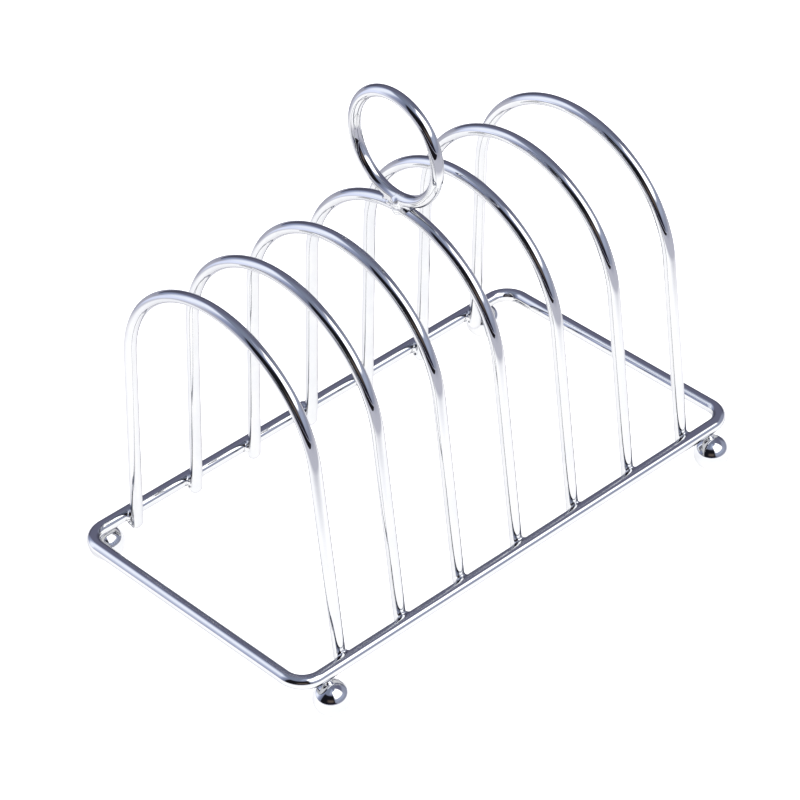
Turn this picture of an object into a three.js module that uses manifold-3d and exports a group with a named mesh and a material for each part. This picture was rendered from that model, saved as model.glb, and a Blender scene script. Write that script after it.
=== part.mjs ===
// A toast rack of bent and welded wire. Seven equal arches stand in a row, with the feet of
// their legs welded to the inner side of a flat rounded frame. A ring handle is welded to the
// crown of the middle arch, and four small ball feet are welded under the frame.
//
// Millimetres. X runs along the row of arches, Y across it, and Z is up. The origin is the
// centre of the footprint, on the surface that the feet stand on. Welded pieces are separate
// solids, and each keeps a small gap to the piece that it is welded to.

import * as THREE from "three";
import { mergeVertices } from "three/addons/utils/BufferGeometryUtils.js";
import Module from "manifold-3d";

const wasm = await Module();
wasm.setup();

// Driving dimensions. Lengths, widths, heights and radii are to the wires' centres.
const ARCH_COUNT = 7;
const ARCH_PITCH = 26.7;
const ARCH_RISE = 111.6; // from the frame up to the crown
const CROWN_RADIUS = 46.6;
const CROWN_HALF_ANGLE = THREE.MathUtils.degToRad(47.5);
const SHOULDER_RADIUS = 42; // between the crown and the straight leg
const ARCH_WIRE = 4.4; // wire diameters
const FRAME_WIRE = 5;
const RING_WIRE = 4.4;
const FRAME_LENGTH = 200;
const FRAME_WIDTH = 110;
const FRAME_CORNER_RADIUS = 8;
const RING_RADIUS = 19.5;
const FOOT_RADIUS = 6.5;
const FOOT_FLAT_RADIUS = 1.5; // of the small flat under each ball
const FOOT_INSET = 10.5; // from the frame's end, along X
const FOOT_OUTSET = 2; // from the frame's long side, outwards
const LEG_OVERHANG = 0.4; // how far the cut end of a leg passes the frame's underside
const LEG_SET_DOWN = 0.8; // how deep a leg is pressed into the frame where it is welded
const RING_SET_DOWN = 0.8; // how deep the ring is pressed into the crown
const WELD_GAP = 0.3; // between two pieces that are welded together

// How finely round shapes are divided.
const WIRE_SIDES = 12;
const BEND_STEP = THREE.MathUtils.degToRad(8);
const RING_STEPS = 40;
const FOOT_SIDES = 20;
const FOOT_STEPS = 8;
const SEAT_SIDES = 24;

// Places that follow from the driving dimensions.
const FOOT_FLAT_DEPTH = Math.sqrt(FOOT_RADIUS ** 2 - FOOT_FLAT_RADIUS ** 2);
const FOOT_REACH = FOOT_RADIUS + WELD_GAP + FRAME_WIRE / 2; // from a ball's centre to the frame's
const FRAME_HEIGHT = FOOT_FLAT_DEPTH + Math.sqrt(FOOT_REACH ** 2 - FOOT_OUTSET ** 2);
const LEG_Y = FRAME_WIDTH / 2 - (FRAME_WIRE + ARCH_WIRE) / 2 + LEG_SET_DOWN;
const LEG_END_HEIGHT = FRAME_HEIGHT - FRAME_WIRE / 2 - LEG_OVERHANG;
const CROWN_HEIGHT = FRAME_HEIGHT + ARCH_RISE;
const RING_HEIGHT = CROWN_HEIGHT + (ARCH_WIRE + RING_WIRE) / 2 - RING_SET_DOWN + RING_RADIUS;
const RIGHT_ANGLE = Math.PI / 2;

const chrome = {
  color: 0xd0d1d4,
  metalness: 1,
  roughness: 0.08,
};

// A bent wire's centre line, as points with the wire's direction at each. A straight has a point
// at each end, and a bend has one every few degrees, so the steps of this curve aren't equal.
class BentWire extends THREE.Curve {
  constructor(points, directions) {
    super();
    this.points = points;
    this.directions = directions;
    this.steps = points.length - 1;
  }

  getPointAt(u, target = new THREE.Vector3()) {
    return target.copy(this.points[Math.round(u * this.steps)]);
  }

  getTangentAt(u, target = new THREE.Vector3()) {
    return target.copy(this.directions[Math.round(u * this.steps)]);
  }
}

// Bends a wire in one plane. place(a, b) turns the plane's coordinates into space. The wire
// starts at (a, b), heading is its direction from the a axis, and each move is a straight of a
// length or a bend of a radius through an angle, which is positive to the left.
function bendWire(place, a, b, heading, moves) {
  const points = [place(a, b)];
  const origin = place(0, 0);
  const direction = () => place(Math.cos(heading), Math.sin(heading)).sub(origin);
  const directions = [direction()];
  const mark = () => {
    points.push(place(a, b));
    directions.push(direction());
  };
  for (const { length, radius, angle } of moves) {
    if (length !== undefined) {
      a += length * Math.cos(heading);
      b += length * Math.sin(heading);
      mark();
      continue;
    }
    const side = Math.sign(angle);
    const centreA = a - side * radius * Math.sin(heading);
    const centreB = b + side * radius * Math.cos(heading);
    const steps = Math.ceil(Math.abs(angle) / BEND_STEP);
    for (let i = 0; i < steps; i++) {
      heading += angle / steps;
      a = centreA + side * radius * Math.sin(heading);
      b = centreB - side * radius * Math.cos(heading);
      mark();
    }
  }
  return new BentWire(points, directions);
}

function wireGeometry(path, diameter) {
  const section = new THREE.Shape();
  section.absarc(0, 0, diameter / 2, 0, 2 * Math.PI);
  return new THREE.ExtrudeGeometry(section, {
    steps: path.steps,
    curveSegments: WIRE_SIDES / 2, // a full circle gets twice as many sides as this
    extrudePath: path,
  });
}

// A geometry as a manifold-3d solid, and back.
function solidOf(geometry) {
  const bare = geometry.clone();
  bare.deleteAttribute("normal");
  bare.deleteAttribute("uv");
  const merged = mergeVertices(bare, 1e-3);
  return new wasm.Manifold(
    new wasm.Mesh({
      numProp: 3,
      vertProperties: merged.attributes.position.array,
      triVerts: new Uint32Array(merged.index.array),
    }),
  );
}

function geometryOf(solid) {
  const mesh = solid.getMesh();
  const geometry = new THREE.BufferGeometry();
  geometry.setAttribute("position", new THREE.BufferAttribute(mesh.vertProperties, 3));
  geometry.setIndex(new THREE.BufferAttribute(mesh.triVerts, 1));
  geometry.computeVertexNormals();
  return geometry;
}

function named(name, geometry) {
  const mesh = new THREE.Mesh(geometry, new THREE.MeshStandardMaterial(chrome));
  mesh.name = name;
  return mesh;
}

// The frame is one rod. Its ends meet in a butt weld behind the middle arch's far leg.
function frameGeometry() {
  const halfSide = FRAME_LENGTH / 2 - FRAME_CORNER_RADIUS - WELD_GAP / 2;
  const corner = { radius: FRAME_CORNER_RADIUS, angle: RIGHT_ANGLE };
  const end = { length: FRAME_WIDTH - 2 * FRAME_CORNER_RADIUS };
  const side = { length: FRAME_LENGTH - 2 * FRAME_CORNER_RADIUS };
  const level = (x, y) => new THREE.Vector3(x, y, FRAME_HEIGHT);
  const moves = [
    { length: halfSide },
    corner,
    end,
    corner,
    side,
    corner,
    end,
    corner,
    { length: halfSide },
  ];
  const path = bendWire(level, -WELD_GAP / 2, FRAME_WIDTH / 2, Math.PI, moves);
  return wireGeometry(path, FRAME_WIRE);
}

// An arch, in its own plane at x = 0: a crown, two tighter shoulders, and two legs that spread a
// little towards their feet. Each leg is the tangent from its foot to the shoulder's circle.
function archPath() {
  const shoulderAngle = RIGHT_ANGLE - CROWN_HALF_ANGLE;
  const shift = CROWN_RADIUS - SHOULDER_RADIUS;
  const shoulderY = shift * Math.cos(shoulderAngle);
  const shoulderZ = CROWN_HEIGHT - CROWN_RADIUS + shift * Math.sin(shoulderAngle);
  const across = LEG_Y - shoulderY;
  const up = shoulderZ - FRAME_HEIGHT;
  const splay = Math.atan2(across, up) - Math.asin(SHOULDER_RADIUS / Math.hypot(across, up));
  const endY = LEG_Y + (FRAME_HEIGHT - LEG_END_HEIGHT) * Math.tan(splay);
  const legTop = shoulderZ + SHOULDER_RADIUS * Math.sin(splay);
  const leg = { length: (legTop - LEG_END_HEIGHT) / Math.cos(splay) };
  const shoulder = { radius: SHOULDER_RADIUS, angle: shoulderAngle - splay };
  const crown = { radius: CROWN_RADIUS, angle: 2 * CROWN_HALF_ANGLE };
  const upright = (y, z) => new THREE.Vector3(0, y, z);
  const moves = [leg, shoulder, crown, shoulder, leg];
  return bendWire(upright, endY, LEG_END_HEIGHT, RIGHT_ANGLE + splay, moves);
}

// The hollow that the frame's wire presses into a leg, as a rod along X with the weld gap added.
function frameSeat(side) {
  const radius = FRAME_WIRE / 2 + WELD_GAP;
  const seat = new THREE.CylinderGeometry(radius, radius, 2 * ARCH_WIRE, SEAT_SIDES);
  seat.rotateZ(RIGHT_ANGLE);
  seat.translate(0, (side * FRAME_WIDTH) / 2, FRAME_HEIGHT);
  return solidOf(seat);
}

function archGeometry() {
  const wire = solidOf(wireGeometry(archPath(), ARCH_WIRE));
  return geometryOf(wire.subtract(frameSeat(1)).subtract(frameSeat(-1)));
}

// The ring stands in the middle arch's plane, with the crown pressed into its lowest point.
function ringGeometry() {
  const ring = new THREE.TorusGeometry(RING_RADIUS, RING_WIRE / 2, WIRE_SIDES, RING_STEPS);
  ring.rotateY(RIGHT_ANGLE);
  ring.translate(0, 0, RING_HEIGHT);
  const crownSeat = solidOf(wireGeometry(archPath(), ARCH_WIRE + 2 * WELD_GAP));
  return geometryOf(solidOf(ring).subtract(crownSeat));
}

// A ball with a small flat under it. Its origin is the ball's centre.
function footGeometry() {
  const start = -Math.asin(FOOT_FLAT_DEPTH / FOOT_RADIUS);
  const profile = [new THREE.Vector2(0, -FOOT_FLAT_DEPTH)];
  for (let i = 0; i < FOOT_STEPS; i++) {
    const level = start + ((RIGHT_ANGLE - start) * i) / FOOT_STEPS;
    profile.push(new THREE.Vector2(Math.cos(level), Math.sin(level)).multiplyScalar(FOOT_RADIUS));
  }
  profile.push(new THREE.Vector2(0, FOOT_RADIUS));
  const foot = new THREE.LatheGeometry(profile, FOOT_SIDES);
  foot.rotateX(RIGHT_ANGLE);
  return foot;
}

const rack = new THREE.Group();
rack.add(named("base_frame", frameGeometry()));

const arch = archGeometry();
for (let i = 0; i < ARCH_COUNT; i++) {
  const mesh = named(`arch_${i + 1}`, arch);
  mesh.position.x = (i - (ARCH_COUNT - 1) / 2) * ARCH_PITCH;
  rack.add(mesh);
}

rack.add(named("ring_handle", ringGeometry()));

const foot = footGeometry();
const footX = FRAME_LENGTH / 2 - FOOT_INSET;
const footY = FRAME_WIDTH / 2 + FOOT_OUTSET;
const footPlaces = {
  foot_near_left: [-footX, -footY],
  foot_near_right: [footX, -footY],
  foot_far_left: [-footX, footY],
  foot_far_right: [footX, footY],
};
for (const [name, [x, y]] of Object.entries(footPlaces)) {
  const mesh = named(name, foot);
  mesh.position.set(x, y, FOOT_FLAT_DEPTH);
  rack.add(mesh);
}

export default rack;
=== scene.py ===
# A toast rack of bent and welded chrome wire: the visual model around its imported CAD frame.
# Everything is in metres, in the frame of the CAD model: X along the row of arches, Y across
# it, Z up, with the origin at the centre of the footprint. The camera looks from -X and -Y.
import math

import bmesh
import bpy
import numpy as np
from mathutils import Matrix, Vector, noise


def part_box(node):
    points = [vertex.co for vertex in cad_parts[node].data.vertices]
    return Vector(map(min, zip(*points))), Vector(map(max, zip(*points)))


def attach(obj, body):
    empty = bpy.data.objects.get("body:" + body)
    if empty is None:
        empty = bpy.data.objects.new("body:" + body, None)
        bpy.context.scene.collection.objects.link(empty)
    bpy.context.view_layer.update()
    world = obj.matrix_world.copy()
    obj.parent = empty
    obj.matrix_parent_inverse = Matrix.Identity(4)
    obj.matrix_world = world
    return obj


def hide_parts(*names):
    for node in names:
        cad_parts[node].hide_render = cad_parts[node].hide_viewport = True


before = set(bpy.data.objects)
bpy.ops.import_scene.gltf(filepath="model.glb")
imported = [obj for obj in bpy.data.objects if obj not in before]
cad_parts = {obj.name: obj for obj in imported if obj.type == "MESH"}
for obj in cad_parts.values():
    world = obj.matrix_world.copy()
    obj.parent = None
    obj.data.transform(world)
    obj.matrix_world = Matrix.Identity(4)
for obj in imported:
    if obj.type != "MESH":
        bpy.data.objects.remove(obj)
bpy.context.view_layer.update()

MM = 0.001
RIGHT_ANGLE = math.pi / 2

# ---------------------------------------------------------------- dimensions
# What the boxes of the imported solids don't say. Radii of bends are to the wire's centre.
CROWN_RADIUS = 46.6 * MM
CROWN_HALF_ANGLE = math.radians(47.5)
SHOULDER_RADIUS = 42 * MM
FRAME_CORNER_RADIUS = 8 * MM
LEG_SET_DOWN = 0.8 * MM  # how deep a leg is pressed into the frame where it is welded
LEG_OVERHANG = 0.4 * MM  # how far a leg's cut end passes the frame's underside
FRAME_BUTT_GAP = 0.3 * MM  # between the two ends of the frame's rod, inside their weld
FOOT_FLAT_RADIUS = 1.5 * MM  # of the small flat under each ball

# How finely shapes are divided.
WIRE_SIDES = 32
BEND_STEP = math.radians(2)
STRAIGHT_STEP = 4 * MM  # the longest piece of a straight
END_ROUNDING = 0.45 * MM  # at the cut end of a wire
END_ROUNDING_STEPS = 4
FOOT_SIDES = 64
FOOT_STEPS = 32


def size_and_middle(node):
    low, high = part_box(node)
    return high - low, (low + high) / 2


arch_nodes = sorted(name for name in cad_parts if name.startswith("arch_"))
foot_nodes = sorted(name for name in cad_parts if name.startswith("foot_"))

frame_size, frame_middle = size_and_middle("base_frame")
FRAME_WIRE = frame_size.z
FRAME_LENGTH = frame_size.x - FRAME_WIRE
FRAME_WIDTH = frame_size.y - FRAME_WIRE
FRAME_HEIGHT = frame_middle.z

arch_size, arch_middle = size_and_middle(arch_nodes[0])
ARCH_WIRE = arch_size.x
CROWN_HEIGHT = arch_middle.z + (arch_size.z - ARCH_WIRE) / 2
LEG_Y = FRAME_WIDTH / 2 - (FRAME_WIRE + ARCH_WIRE) / 2 + LEG_SET_DOWN
LEG_END_HEIGHT = FRAME_HEIGHT - FRAME_WIRE / 2 - LEG_OVERHANG

ring_size, ring_middle = size_and_middle("ring_handle")
RING_WIRE = ring_size.x
RING_RADIUS = (ring_size.y - RING_WIRE) / 2
RING_HEIGHT = ring_middle.z + (ring_size.z - RING_WIRE) / 2 - RING_RADIUS

foot_height = size_and_middle(foot_nodes[0])[0].z
FOOT_RADIUS = (foot_height**2 + FOOT_FLAT_RADIUS**2) / foot_height / 2


# ---------------------------------------------------------------- bent wires
def bend_wire(place, a, b, heading, moves):
    """The centre line of a wire bent in one plane, as (point, direction) stations.

    place(a, b) turns the plane's coordinates into space. heading is the wire's direction at
    its start, from the a axis. A move is ("straight", length) or ("bend", radius, angle),
    and an angle is positive to the left.
    """
    origin = place(0, 0)

    def station():
        return place(a, b), place(math.cos(heading), math.sin(heading)) - origin

    stations = [station()]
    for kind, *values in moves:
        if kind == "straight":
            (length,) = values
            steps = math.ceil(length / STRAIGHT_STEP)
            for _ in range(steps):
                a += length / steps * math.cos(heading)
                b += length / steps * math.sin(heading)
                stations.append(station())
        else:
            radius, angle = values
            side = math.copysign(1, angle)
            centre_a = a - side * radius * math.sin(heading)
            centre_b = b + side * radius * math.cos(heading)
            steps = math.ceil(abs(angle) / BEND_STEP)
            for _ in range(steps):
                heading += angle / steps
                a = centre_a + side * radius * math.sin(heading)
                b = centre_b - side * radius * math.cos(heading)
                stations.append(station())
    return stations


def new_piece(name, vertices, faces, uvs=None):
    """A smooth mesh object that rides on the rack's one body."""
    mesh = bpy.data.meshes.new(name)
    mesh.from_pydata(vertices, [], faces)
    mesh.polygons.foreach_set("use_smooth", [True] * len(mesh.polygons))
    if uvs is not None:
        layer = mesh.uv_layers.new(name="along_wire")
        for loop in mesh.loops:
            layer.data[loop.index].uv = uvs[loop.vertex_index]
    mesh.update()
    piece = bpy.data.objects.new(name, mesh)
    bpy.context.scene.collection.objects.link(piece)
    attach(piece, "root")
    return piece


def wire_piece(name, stations, across, diameter, closed=False):
    """Sweeps a round section along a centre line. across is the normal of the line's plane."""
    rings = []
    length = 0
    previous = stations[0][0]
    for point, direction in stations:
        length += (point - previous).length
        previous = point
        rings.append((point, direction, diameter / 2, length))
    if not closed:
        rings = rounded_end(rings[0], -1) + rings[1:-1] + rounded_end(rings[-1], 1)
    vertices, uvs = [], []
    for point, direction, radius, along in rings:
        sideways = across.cross(direction)
        for side in range(WIRE_SIDES):
            turn = 2 * math.pi * side / WIRE_SIDES
            outwards = across * math.cos(turn) + sideways * math.sin(turn)
            vertices.append(point + outwards * radius)
            uvs.append((along, turn * diameter / 2))
    faces = []
    for ring in range(len(rings) if closed else len(rings) - 1):
        following = (ring + 1) % len(rings)
        for side in range(WIRE_SIDES):
            beside = (side + 1) % WIRE_SIDES
            faces.append(
                (
                    ring * WIRE_SIDES + side,
                    ring * WIRE_SIDES + beside,
                    following * WIRE_SIDES + beside,
                    following * WIRE_SIDES + side,
                )
            )
    if not closed:
        last = (len(rings) - 1) * WIRE_SIDES
        faces.append(tuple(reversed(range(WIRE_SIDES))))
        faces.append(tuple(range(last, last + WIRE_SIDES)))
    return new_piece(name, vertices, faces, uvs)


def rounded_end(ring, way):
    """The rings that round a wire's cut end. way is -1 at the wire's start and 1 at its end."""
    point, direction, radius, along = ring
    rings = []
    for step in range(END_ROUNDING_STEPS + 1):
        turn = RIGHT_ANGLE * step / END_ROUNDING_STEPS
        back = END_ROUNDING * (1 - math.sin(turn))
        inset = END_ROUNDING * (1 - math.cos(turn))
        rings.append((point - direction * way * back, direction, radius - inset, along - way * back))
    return rings if way == 1 else rings[::-1]


def level(x, y):
    return Vector((x, y, FRAME_HEIGHT))


def base_frame():
    """One rod, whose ends meet in a butt weld behind the middle arch's far leg."""
    half_side = ("straight", FRAME_LENGTH / 2 - FRAME_CORNER_RADIUS - FRAME_BUTT_GAP / 2)
    corner = ("bend", FRAME_CORNER_RADIUS, RIGHT_ANGLE)
    end = ("straight", FRAME_WIDTH - 2 * FRAME_CORNER_RADIUS)
    side = ("straight", FRAME_LENGTH - 2 * FRAME_CORNER_RADIUS)
    moves = [half_side, corner, end, corner, side, corner, end, corner, half_side]
    stations = bend_wire(level, -FRAME_BUTT_GAP / 2, FRAME_WIDTH / 2, math.pi, moves)
    return wire_piece("wire_base_frame", stations, Vector((0, 0, 1)), FRAME_WIRE)


def leg_splay():
    """How far a leg leans from upright, and the height of its shoulder's centre."""
    shoulder_angle = RIGHT_ANGLE - CROWN_HALF_ANGLE
    shift = CROWN_RADIUS - SHOULDER_RADIUS
    shoulder_y = shift * math.cos(shoulder_angle)
    shoulder_z = CROWN_HEIGHT - CROWN_RADIUS + shift * math.sin(shoulder_angle)
    across, up = LEG_Y - shoulder_y, shoulder_z - FRAME_HEIGHT
    splay = math.atan2(across, up) - math.asin(SHOULDER_RADIUS / math.hypot(across, up))
    return splay, shoulder_z


def arch(name, x):
    """An arch in its own plane: a crown, two tighter shoulders, and two spread legs."""
    splay, shoulder_z = leg_splay()
    end_y = LEG_Y + (FRAME_HEIGHT - LEG_END_HEIGHT) * math.tan(splay)
    leg_top = shoulder_z + SHOULDER_RADIUS * math.sin(splay)
    leg = ("straight", (leg_top - LEG_END_HEIGHT) / math.cos(splay))
    shoulder = ("bend", SHOULDER_RADIUS, RIGHT_ANGLE - CROWN_HALF_ANGLE - splay)
    crown = ("bend", CROWN_RADIUS, 2 * CROWN_HALF_ANGLE)
    stations = bend_wire(
        lambda y, z: Vector((x, y, z)),
        end_y,
        LEG_END_HEIGHT,
        RIGHT_ANGLE + splay,
        [leg, shoulder, crown, shoulder, leg],
    )
    return wire_piece(name, stations, Vector((1, 0, 0)), ARCH_WIRE)


def ring_handle():
    """A ring in the middle arch's plane, from its lowest point all the way round."""
    stations = bend_wire(
        lambda y, z: Vector((0, y, z)),
        0,
        RING_HEIGHT - RING_RADIUS,
        0,
        [("bend", RING_RADIUS, 2 * math.pi)],
    )
    across = Vector((1, 0, 0))
    return wire_piece("wire_ring", stations[:-1], across, RING_WIRE, closed=True)


def ball_centre(node):
    low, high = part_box(node)
    return Vector(((low.x + high.x) / 2, (low.y + high.y) / 2, high.z - FOOT_RADIUS))


def ball_foot(name, node):
    """A ball with a small flat under it."""
    centre = ball_centre(node)
    start = -math.acos(FOOT_FLAT_RADIUS / FOOT_RADIUS)
    vertices = [centre + Vector((0, 0, FOOT_RADIUS * math.sin(start)))]
    for step in range(FOOT_STEPS):
        latitude = start + (RIGHT_ANGLE - start) * step / FOOT_STEPS
        for side in range(FOOT_SIDES):
            around = 2 * math.pi * side / FOOT_SIDES
            outwards = Vector((math.cos(around), math.sin(around), 0)) * math.cos(latitude)
            vertices.append(centre + (outwards + Vector((0, 0, math.sin(latitude)))) * FOOT_RADIUS)
    vertices.append(centre + Vector((0, 0, FOOT_RADIUS)))
    top = len(vertices) - 1
    faces = []
    for side in range(FOOT_SIDES):
        beside = (side + 1) % FOOT_SIDES
        faces.append((0, 1 + beside, 1 + side))
        for step in range(FOOT_STEPS - 1):
            row = 1 + step * FOOT_SIDES
            above = row + FOOT_SIDES
            faces.append((row + side, row + beside, above + beside, above + side))
        highest = 1 + (FOOT_STEPS - 1) * FOOT_SIDES
        faces.append((highest + side, highest + beside, top))
    return new_piece(name, vertices, faces)


# ---------------------------------------------------------------- welds
# Each from_... function returns one that tells how far many places are from a shape's surface.
# Inside the shape it is negative.
def from_rod(point, direction, radius):
    """A straight round rod without ends."""
    point, axis = np.array(point), np.array(direction)

    def distance(places):
        offsets = places - point
        beside = offsets - np.outer(offsets @ axis, axis)
        return np.linalg.norm(beside, axis=1) - radius

    return distance


def from_hoop(centre, hoop_radius, radius):
    """A hoop of round wire that stands in the plane of an arch."""
    centre = np.array(centre)

    def distance(places):
        offsets = places - centre
        in_plane = np.hypot(offsets[:, 1], offsets[:, 2])
        return np.hypot(offsets[:, 0], in_plane - hoop_radius) - radius

    return distance


def from_ball(centre, radii):
    """A ball, stretched where its radii along the three axes differ. It is exact when round."""
    centre, radii = np.array(centre), np.array(radii)

    def distance(places):
        return (np.linalg.norm((places - centre) / radii, axis=1) - 1) * radii.min()

    return distance


def smooth_union(one, other, fillet):
    """The distance from two shapes whose crevice is rounded over a width of that fillet."""
    near = np.maximum(fillet - np.abs(one - other), 0)
    return np.minimum(one, other) - near * near / fillet / 4


WELD_FINENESS = 5  # subdivisions of the ball that a weld's skin starts from
WELD_HALVINGS = 24  # of the range in which each point of the skin is sought
WELD_UNDERLAP = 0.03 * MM  # how far the skin lies under the wires where it isn't needed
WELD_HOLD = 0.72  # the share of its reach where the skin starts to dive under the wires
WELD_LUMPS = 0.35  # how unevenly the metal flowed
WELD_LUMP_SIZE = 1.3 * MM
BEAD_MELT = 0.9 * MM  # how widely a bead melts into the rest


def weld(name, centre, reach, shapes, fillet, beads=()):
    """A closed skin round the place where two shapes touch, with its centre inside both.

    It fills their crevice, and sinks under their surfaces before it is its reach away. Each
    bead is the distance from a drop of metal that melts into the rest.
    """
    net = bmesh.new()
    bmesh.ops.create_icosphere(net, subdivisions=WELD_FINENESS, radius=1)
    directions = np.array([vertex.co[:] for vertex in net.verts])
    faces = [tuple(vertex.index for vertex in face.verts) for face in net.faces]
    net.free()
    centre = np.array(centre)
    unevenness = [
        noise.noise(Vector((centre + direction * reach / 2) / WELD_LUMP_SIZE))
        for direction in directions
    ]
    fillets = fillet * (1 + WELD_LUMPS * np.array(unevenness))
    deepest = max(FRAME_WIRE, ARCH_WIRE)
    low, high = np.zeros(len(directions)), np.full(len(directions), reach)
    for _ in range(WELD_HALVINGS):
        middle = (low + high) / 2
        places = centre + directions * middle[:, None]
        distance = smooth_union(shapes[0](places), shapes[1](places), fillets) + WELD_UNDERLAP
        for bead in beads:
            distance = smooth_union(distance, bead(places), BEAD_MELT)
        dive = np.clip(middle / reach - WELD_HOLD, 0, None) / (1 - WELD_HOLD)
        distance += deepest * dive**2
        inside = distance < 0
        low, high = np.where(inside, middle, low), np.where(inside, high, middle)
    vertices = centre + directions * middle[:, None]
    return new_piece(name, vertices.tolist(), faces)


# ---------------------------------------------------------------- node trees
def add(tree, kind, inputs=(), **settings):
    """Adds a node. inputs maps a socket's name or number to a value or a node's output."""
    node = tree.nodes.new(kind)
    for setting, value in settings.items():
        setattr(node, setting, value)
    for socket, value in dict(inputs).items():
        if isinstance(value, bpy.types.NodeSocket):
            tree.links.new(value, node.inputs[socket])
        else:
            node.inputs[socket].default_value = value
    return node


def maths(tree, operation, *values):
    return add(tree, "ShaderNodeMath", enumerate(values), operation=operation).outputs[0]


def ramp(tree, value, low, high):
    """0 below low, 1 above high, and smooth between. It falls instead where low > high."""
    inputs = {"Value": value, "From Min": low, "From Max": high}
    return add(tree, "ShaderNodeMapRange", inputs, interpolation_type="SMOOTHSTEP").outputs[0]


def window(tree, value, low, high, feather):
    """1 between low and high, with soft edges of that feather on both sides."""
    rising = ramp(tree, value, low - feather, low + feather)
    falling = ramp(tree, value, high + feather, high - feather)
    return maths(tree, "MULTIPLY", rising, falling)


def blend(tree, amount, under, over):
    """The colour under, covered by the colour over by that amount."""
    # Counted from 0, a mix node's two colours are its inputs 6 and 7, and the mixed one is output 2.
    inputs = {0: amount, 6: under, 7: over}
    return add(tree, "ShaderNodeMix", inputs, data_type="RGBA").outputs[2]


def noise_value(tree, vector, scale, detail=2, roughness=0.5):
    inputs = {"Vector": vector, "Scale": scale, "Detail": detail, "Roughness": roughness}
    return add(tree, "ShaderNodeTexNoise", inputs).outputs["Fac"]


CHROME_REFLECTION = 0.57  # how much of the light polished chrome reflects
BRIGHTEST = 255  # of a display's levels


def linear(level):
    """A display level from 0 to 1 as scene light, by the sRGB curve."""
    return level / 12.92 if level <= 0.04045 else ((level + 0.055) / 1.055) ** 2.4


def shows_as(red, green, blue, brightness=1):
    """The studio light that polished chrome shows as this display colour, 0 to 255."""
    shares = (level / BRIGHTEST for level in (red, green, blue))
    return (*(linear(share) / CHROME_REFLECTION * brightness for share in shares), 1)


# ---------------------------------------------------------------- studio
# What stands around the rack, in directions in degrees: azimuth 0 is towards -Y and 90 towards
# +X, and elevation is above the horizon. Each patch covers those before it. Its half width is
# at the horizon, and spread is how much wider it gets with each degree of elevation.
ALL_ROUND = 400  # these three are past any edge and its feather
GROUND = -400
ZENITH = 400
AMBIENT = shows_as(98, 99, 119)
WHITE = (1, 1, 1, 1)
STUDIO = [
    # colour, azimuth, half width, spread, feather, (elevation from, to), feather
    (shows_as(112, 117, 136), 0, ALL_ROUND, 0, 1, (64, ZENITH), 12),  # ceiling
    (shows_as(152, 160, 184), -30, 46, 0, 30, (56, ZENITH), 8),
    (shows_as(118, 126, 146), -124, 60, 0, 12, (50, ZENITH), 7),
    (shows_as(80, 80, 95), 132, 44, 0, 10, (GROUND, 20), 8),  # the dim wall behind
    (shows_as(140, 145, 163), 30, 62, 0, 10, (GROUND, 34), 7),  # under the right soft box
    (shows_as(158, 166, 188), 18, 34, 0, 16, (13, 26), 8),
    (shows_as(255, 255, 255, 2), 15, 23, 0.3, 7, (28, 71), 4),  # right soft box
    (shows_as(116, 123, 145), -146, 42, 0, 5, (GROUND, 55), 6),  # left soft box and its spill
    (shows_as(160, 168, 198), -146, 24, 0.1, 13, (GROUND, 52), 7),
    (shows_as(236, 241, 253), -146, 12, 0.14, 9, (GROUND, 50), 8),
    (shows_as(22, 22, 27), -64, 44, -0.15, 2.5, (GROUND, 49), 3),  # the dark room behind the camera
    (shows_as(92, 81, 75), -48, 17, 0, 9, (12, 25), 6),
    (shows_as(28, 28, 46), -42, 28, 0, 4, (GROUND, 5), 4),
]


def azimuth_of(tree, axes):
    ahead = maths(tree, "MULTIPLY", axes["Y"], -1.0)
    return maths(tree, "DEGREES", maths(tree, "ARCTAN2", axes["X"], ahead))


def is_seen_by_camera(tree):
    """1 for what the camera sees directly, and 0 for what the chrome sees and what lights it."""
    return add(tree, "ShaderNodeLightPath").outputs["Is Camera Ray"]


def studio_world():
    world = bpy.data.worlds.new("studio")
    bpy.context.scene.world = world
    world.use_nodes = True
    tree = world.node_tree
    tree.nodes.clear()
    direction = add(tree, "ShaderNodeTexCoord").outputs["Generated"]
    axes = add(tree, "ShaderNodeSeparateXYZ", {0: direction}).outputs
    azimuth = azimuth_of(tree, axes)
    elevation = maths(tree, "DEGREES", maths(tree, "ARCSINE", axes["Z"]))
    light = AMBIENT
    for colour, middle, half_width, spread, side_feather, heights, height_feather in STUDIO:
        aside = maths(tree, "ABSOLUTE", maths(tree, "SUBTRACT", azimuth, middle))
        aside = maths(tree, "MULTIPLY_ADD", elevation, -spread, aside)
        amount = maths(
            tree,
            "MULTIPLY",
            ramp(tree, aside, half_width + side_feather, half_width - side_feather),
            window(tree, elevation, *heights, height_feather),
        )
        light = blend(tree, amount, light, colour)
    light = blend(tree, is_seen_by_camera(tree), light, WHITE)
    background = add(tree, "ShaderNodeBackground", {"Color": light})
    add(tree, "ShaderNodeOutputWorld", {"Surface": background.outputs[0]})


def new_material(name):
    material = bpy.data.materials.new(name)
    material.use_nodes = True
    material.node_tree.nodes.clear()
    return material, material.node_tree


def stage_sheet(name, low, high, height, material):
    """A level rectangle of the studio, from corner to corner."""
    mesh = bpy.data.meshes.new(name)
    corners = [(low[0], low[1]), (high[0], low[1]), (high[0], high[1]), (low[0], high[1])]
    mesh.from_pydata([(x, y, height) for x, y in corners], [], [(0, 1, 2, 3)])
    mesh.materials.append(material)
    sheet = bpy.data.objects.new(name, mesh)
    bpy.context.scene.collection.objects.link(sheet)
    return sheet


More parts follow.
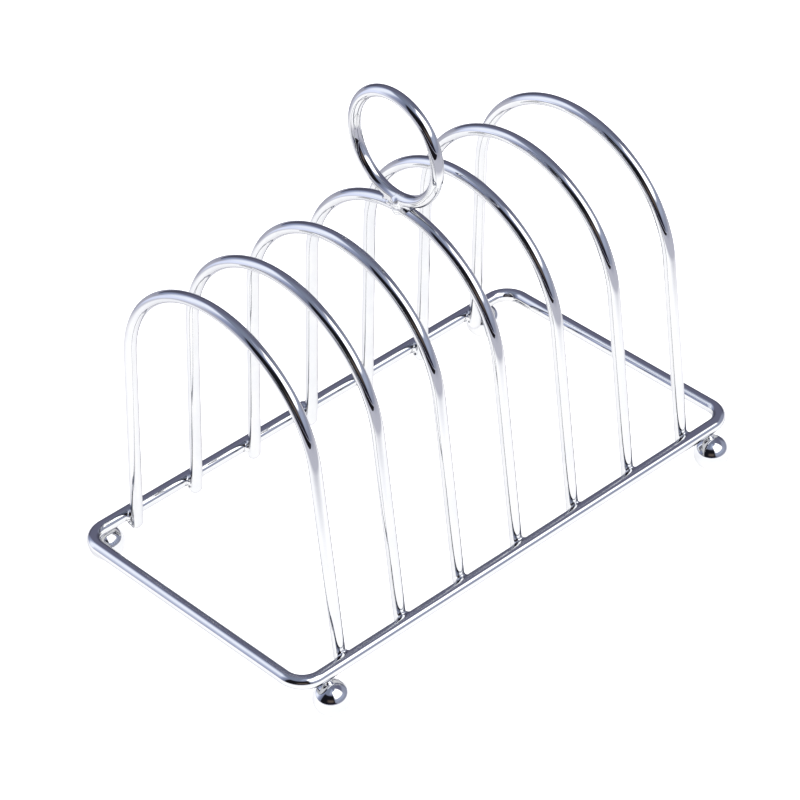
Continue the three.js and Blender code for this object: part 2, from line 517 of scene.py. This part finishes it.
# The floor is white paper with painted light: it glows of its own, and is also lit by what falls on
# it. In the chrome its glow is a painted pool of light round the rack. Beyond the pool it is greyer
# and nearly unlit, with the paper painted nearly black, and a painted reflection of the left soft
# box lies on it. The camera sees all of it as bright as the pool.
FLOOR_REACH = 12  # metres, as are the lengths below
POOL_CENTRE = (0.02, 0.03, 0)
POOL_RADIUS = 0.2
POOL_EDGE = 0.31  # where the pool has faded out
# Painted light: the floor's glow in the pool, and everywhere the camera sees it.
POOL_LIGHT = (1.13, 1.11, 1.04, 1)
PAPER = (0.84, 0.84, 0.84, 1)
# Painted shade: the paper's colour made nearly black beyond the pool, where the chrome sees it.
PAPER_PAINTED_UNLIT = (0.04, 0.04, 0.045, 1)
EDGE_LIGHT = shows_as(180, 180, 190)  # just beyond the pool
FAR_LIGHT = shows_as(158, 159, 172)  # from FAR_REACH outwards
FAR_REACH = 1.6
# A painted reflection of the left soft box on the floor's glow beyond the pool, seen only in the
# chrome.
PAINTED_SOFT_BOX_REFLECTION = shows_as(222, 228, 250)
PAINTED_REFLECTION_AZIMUTH = -144  # degrees
PAINTED_REFLECTION_WIDTHS = (18, 6)  # degrees aside where the painted reflection ends and where it is full
PAINTED_REFLECTION_REACH = (0.22, 0.42)  # where it starts and where it is full


def paper_floor():
    material, tree = new_material("floor")
    place = add(tree, "ShaderNodeTexCoord").outputs["Object"]
    away = {0: place, 1: POOL_CENTRE}
    reach = add(tree, "ShaderNodeVectorMath", away, operation="DISTANCE").outputs["Value"]
    axes = add(tree, "ShaderNodeSeparateXYZ", {0: place}).outputs
    glow = blend(tree, ramp(tree, reach, POOL_EDGE, FAR_REACH), EDGE_LIGHT, FAR_LIGHT)
    aside = maths(
        tree, "ABSOLUTE", maths(tree, "SUBTRACT", azimuth_of(tree, axes), PAINTED_REFLECTION_AZIMUTH)
    )
    painted_reflection = maths(
        tree, "MULTIPLY", ramp(tree, aside, *PAINTED_REFLECTION_WIDTHS), ramp(tree, reach, *PAINTED_REFLECTION_REACH)
    )
    glow = blend(tree, painted_reflection, glow, PAINTED_SOFT_BOX_REFLECTION)
    # Painted pool of light: glow and paper colour are bright in the pool and for the camera, and
    # painted dim beyond.
    in_pool = ramp(tree, reach, POOL_EDGE, POOL_RADIUS)
    lit = maths(tree, "MAXIMUM", in_pool, is_seen_by_camera(tree))
    emission = add(tree, "ShaderNodeEmission", {"Color": blend(tree, lit, glow, POOL_LIGHT)})
    albedo = blend(tree, lit, PAPER_PAINTED_UNLIT, PAPER)
    paper = add(tree, "ShaderNodeBsdfDiffuse", {"Color": albedo})
    both = add(tree, "ShaderNodeAddShader", {0: emission.outputs[0], 1: paper.outputs[0]})
    add(tree, "ShaderNodeOutputMaterial", {"Surface": both.outputs[0]})
    stage_sheet("floor", (-FLOOR_REACH, -FLOOR_REACH), (FLOOR_REACH, FLOOR_REACH), 0, material)


# A dark sheet laid on the floor, which only the chrome sees: it puts painted shade, the dark of the
# room, into the chrome's reflections.
PAINTED_SHADE_LOW = (-3, -3)
PAINTED_SHADE_HIGH = (-0.42, 0.2)
PAINTED_SHADE_HEIGHT = 1 * MM
# Painted shade: near black, so that it shows as the dark room in the chrome.
PAINTED_SHADE_COLOUR = (0.02, 0.018, 0.02, 1)


def painted_shade_sheet():
    material, tree = new_material("painted_shade")
    painted_shade = add(tree, "ShaderNodeBsdfDiffuse", {"Color": PAINTED_SHADE_COLOUR})
    add(tree, "ShaderNodeOutputMaterial", {"Surface": painted_shade.outputs[0]})
    sheet = stage_sheet("painted_shade_sheet", PAINTED_SHADE_LOW, PAINTED_SHADE_HIGH, PAINTED_SHADE_HEIGHT, material)
    sheet.visible_camera = False


studio_world()
paper_floor()
painted_shade_sheet()


# ---------------------------------------------------------------- chrome
# Specular tints, tuned and not measured: the lower one gives white wire a thin grey outline on the
# white floor.
WIRE_EDGE_TINT = (0.58, 0.58, 0.62, 1)
BALL_EDGE_TINT = (0.85, 0.85, 0.87, 1)

BRIGHT_CHROME = (0.57, 0.574, 0.583, 1)
DULL_CHROME = (0.545, 0.552, 0.568, 1)
PATCH_SCALE = 90  # noise scales are per metre
PATCH_EDGES = (0.35, 0.7)  # the noise where the chrome is bright and where it is dull
HAZE_SCALE = 420
LOWEST_ROUGHNESS = 0.012
HAZE_ROUGHNESS = 0.04  # what the haze adds at most
PEEL_SCALE = 1300
PEEL_HEIGHT = 0.06  # of the waves' height
WAVE_SCALE = (60, 190, 1)  # along the wire and round it
BUMP_STRENGTH = 0.35
BUMP_DISTANCE = 0.12 * MM


def chrome(name, along_wire, edge_tint):
    """Polished plate with dull patches, haze and orange peel. Wire also has long low waves."""
    material, tree = new_material(name)
    place = add(tree, "ShaderNodeTexCoord").outputs["Object"]
    patches = noise_value(tree, place, PATCH_SCALE, 3)
    haze = noise_value(tree, place, HAZE_SCALE, 4, 0.6)
    height = maths(tree, "MULTIPLY", noise_value(tree, place, PEEL_SCALE), PEEL_HEIGHT)
    if along_wire:
        wire = add(tree, "ShaderNodeUVMap", uv_map="along_wire").outputs["UV"]
        stretched = add(tree, "ShaderNodeMapping", {"Vector": wire, "Scale": WAVE_SCALE})
        waves = noise_value(tree, stretched.outputs[0], 1.0, 1)
        height = maths(tree, "ADD", height, waves)
    bumps = {"Height": height, "Strength": BUMP_STRENGTH, "Distance": BUMP_DISTANCE}
    inputs = {
        "Base Color": blend(tree, ramp(tree, patches, *PATCH_EDGES), BRIGHT_CHROME, DULL_CHROME),
        "Roughness": maths(tree, "MULTIPLY_ADD", haze, HAZE_ROUGHNESS, LOWEST_ROUGHNESS),
        "Metallic": 1.0,
        "Normal": add(tree, "ShaderNodeBump", bumps).outputs[0],
        "Specular Tint": edge_tint,
    }
    surface = add(tree, "ShaderNodeBsdfPrincipled", inputs).outputs[0]
    add(tree, "ShaderNodeOutputMaterial", {"Surface": surface})
    return material


wire_chrome = chrome("chrome_wire", True, WIRE_EDGE_TINT)
foot_chrome = chrome("chrome_feet", False, BALL_EDGE_TINT)
weld_chrome = chrome("chrome_weld", False, WIRE_EDGE_TINT)


# ---------------------------------------------------------------- pieces
def build(piece, material, node=None):
    """Gives a piece its material, and lets it stand for a CAD node where one is named."""
    piece.data.materials.append(material)
    if node:
        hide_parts(node)


# A fillet is how widely a weld fills the crevice, and a reach is how far it goes from its centre.
LEG_FILLET = 1.5 * MM
LEG_WELD_REACH = 6.2 * MM
RING_FILLET = 2.3 * MM
RING_WELD_REACH = 8.5 * MM
FOOT_FILLET = 0.9 * MM
FOOT_WELD_REACH = 3.4 * MM
FRAME_FILLET = 0.7 * MM
FRAME_WELD_REACH = 5 * MM
FRAME_BEAD_HEIGHT = 0.3 * MM
FRAME_BEAD_HALF_WIDTH = 1.3 * MM

# The drops of spilled metal, with their radii along the three axes.
LEG_DROP = (0.95 * MM, 0.85 * MM, 0.9 * MM)
LEG_DROP_BESIDE = 0.42 * ARCH_WIRE  # from the leg's centre, towards -X
LEG_DROP_OUT = 0.28 * ARCH_WIRE  # from the leg's centre, towards the frame
LEG_DROP_UP = 0.5 * MM  # from the leg's cut end
LEG_DROP_STRAY = (0.5 * MM, 0.4 * MM)  # along X and Z, from one weld to another
LEG_DROP_STEPS = (3.7, 1.9, 0.5)  # in the noise that moves them: per arch, per side, and fixed
FOOT_DROP = (0.75 * MM, 0.6 * MM, 0.6 * MM)
FOOT_DROP_PLACE = (-0.5 * MM, 1.1 * MM, -0.1 * MM)  # from the touching point, Y being outwards
RING_DROPS = [
    # millimetres: the place from where the ring and the crown touch, and the radii
    ((-1.3, -0.9, 0.5), (1.4, 1.5, 1.9)),
    ((-1.4, -0.5, -2.3), (1.4, 1.5, 2.1)),
    ((1.5, -0.2, -0.5), (1.0, 1.6, 1.5)),
]


def leg_weld(name, x, side, lump):
    """The weld between a leg and the inner side of the frame, with a drop beside it.

    side is 1 for a far leg and -1 for a near one. lump, from -1 to 1, moves the drop a little.
    """
    splay, _ = leg_splay()
    leg_axis = (0, -side * math.sin(splay), math.cos(splay))
    leg = from_rod((x, side * LEG_Y, FRAME_HEIGHT), leg_axis, ARCH_WIRE / 2)
    rod = from_rod((0, side * FRAME_WIDTH / 2, FRAME_HEIGHT), (1, 0, 0), FRAME_WIRE / 2)
    touch_y = side * (LEG_Y + ARCH_WIRE / 2 - LEG_SET_DOWN / 2)
    stray_x, stray_z = LEG_DROP_STRAY
    drop = (
        x - LEG_DROP_BESIDE + lump * stray_x,
        side * (LEG_Y + LEG_DROP_OUT),
        LEG_END_HEIGHT + LEG_DROP_UP + lump * stray_z,
    )
    centre = (x, touch_y, FRAME_HEIGHT)
    return weld(name, centre, LEG_WELD_REACH, (leg, rod), LEG_FILLET, [from_ball(drop, LEG_DROP)])


def ring_weld():
    """The collar where the ring stands on the crown, made lumpy by three drops."""
    crown = from_hoop((0, 0, CROWN_HEIGHT - CROWN_RADIUS), CROWN_RADIUS, ARCH_WIRE / 2)
    ring = from_hoop((0, 0, RING_HEIGHT), RING_RADIUS, RING_WIRE / 2)
    touch = np.array((0, 0, (CROWN_HEIGHT + RING_HEIGHT - RING_RADIUS) / 2))
    drops = [
        from_ball(touch + np.array(place) * MM, np.array(radii) * MM)
        for place, radii in RING_DROPS
    ]
    return weld("weld_ring", touch, RING_WELD_REACH, (crown, ring), RING_FILLET, drops)


def foot_weld(name, node):
    """A small nugget where a ball touches the frame, with a drop beside it."""
    centre = ball_centre(node)
    outwards = math.copysign(1, centre.y)
    ball = from_ball(centre, (FOOT_RADIUS, FOOT_RADIUS, FOOT_RADIUS))
    rod_middle = Vector((centre.x, outwards * FRAME_WIDTH / 2, FRAME_HEIGHT))
    rod = from_rod(rod_middle, (1, 0, 0), FRAME_WIRE / 2)
    towards_rod = (rod_middle - centre).normalized()
    touch = (centre + towards_rod * FOOT_RADIUS + rod_middle - towards_rod * FRAME_WIRE / 2) / 2
    x, y, z = FOOT_DROP_PLACE
    drop = touch + Vector((x, outwards * y, z))
    drops = [from_ball(drop, FOOT_DROP)]
    return weld(name, touch, FOOT_WELD_REACH, (ball, rod), FOOT_FILLET, drops)


def frame_weld():
    """The low bead round the frame where its rod's two ends meet."""
    centre = (0, FRAME_WIDTH / 2, FRAME_HEIGHT)
    rod = from_rod(centre, (1, 0, 0), FRAME_WIRE / 2)
    bulge = FRAME_WIRE / 2 + FRAME_BEAD_HEIGHT
    bead = from_ball(centre, (FRAME_BEAD_HALF_WIDTH, bulge, bulge))
    return weld("weld_frame", centre, FRAME_WELD_REACH, (rod, bead), FRAME_FILLET)


build(base_frame(), wire_chrome, "base_frame")
build(frame_weld(), weld_chrome)
for node in arch_nodes:
    x = size_and_middle(node)[1].x
    build(arch(f"wire_{node}", x), wire_chrome, node)
build(ring_handle(), wire_chrome, "ring_handle")
build(ring_weld(), weld_chrome)
for node in foot_nodes:
    build(ball_foot(f"ball_{node}", node), foot_chrome, node)
    build(foot_weld(f"weld_{node}", node), weld_chrome)
arch_step, side_step, start = LEG_DROP_STEPS
for number, node in enumerate(arch_nodes):
    x = size_and_middle(node)[1].x
    for side, side_name in ((-1, "near"), (1, "far")):
        lump = noise.noise(Vector((number * arch_step, side * side_step, start)))
        build(leg_weld(f"weld_{node}_{side_name}", x, side, lump), weld_chrome)


# ---------------------------------------------------------------- camera
CAMERA_AZIMUTH = math.radians(-41.478)
CAMERA_ELEVATION = math.radians(36.963)
CAMERA_ROLL = math.radians(-2.837)
CAMERA_DISTANCE = 1238.15 * MM
CAMERA_TARGET = Vector((0, 0, FRAME_HEIGHT + 49.08 * MM))
CAMERA_RIGHT = -1.94 * MM  # how far the camera is moved, in its own plane
CAMERA_UP = -13.17 * MM
CAMERA_LENS = 166.3  # millimetres, for the sensor below
CAMERA_SENSOR = 36
CAMERA_CLIP_START = 10 * MM


def add_camera():
    back = Vector(
        (
            math.sin(CAMERA_AZIMUTH) * math.cos(CAMERA_ELEVATION),
            -math.cos(CAMERA_AZIMUTH) * math.cos(CAMERA_ELEVATION),
            math.sin(CAMERA_ELEVATION),
        )
    )
    level_right = Vector((math.cos(CAMERA_AZIMUTH), math.sin(CAMERA_AZIMUTH), 0))
    level_up = back.cross(level_right)
    right = math.cos(CAMERA_ROLL) * level_right + math.sin(CAMERA_ROLL) * level_up
    up = math.cos(CAMERA_ROLL) * level_up - math.sin(CAMERA_ROLL) * level_right
    place = CAMERA_TARGET + back * CAMERA_DISTANCE + right * CAMERA_RIGHT + up * CAMERA_UP
    data = bpy.data.cameras.new("camera")
    data.sensor_width = CAMERA_SENSOR
    data.lens = CAMERA_LENS
    data.clip_start = CAMERA_CLIP_START
    camera = bpy.data.objects.new("camera", data)
    bpy.context.scene.collection.objects.link(camera)
    turn = Matrix((right, up, back)).transposed().to_4x4()
    camera.matrix_world = Matrix.Translation(place) @ turn
    bpy.context.scene.camera = camera


add_camera()
bpy.context.scene.view_settings.view_transform = "Standard"
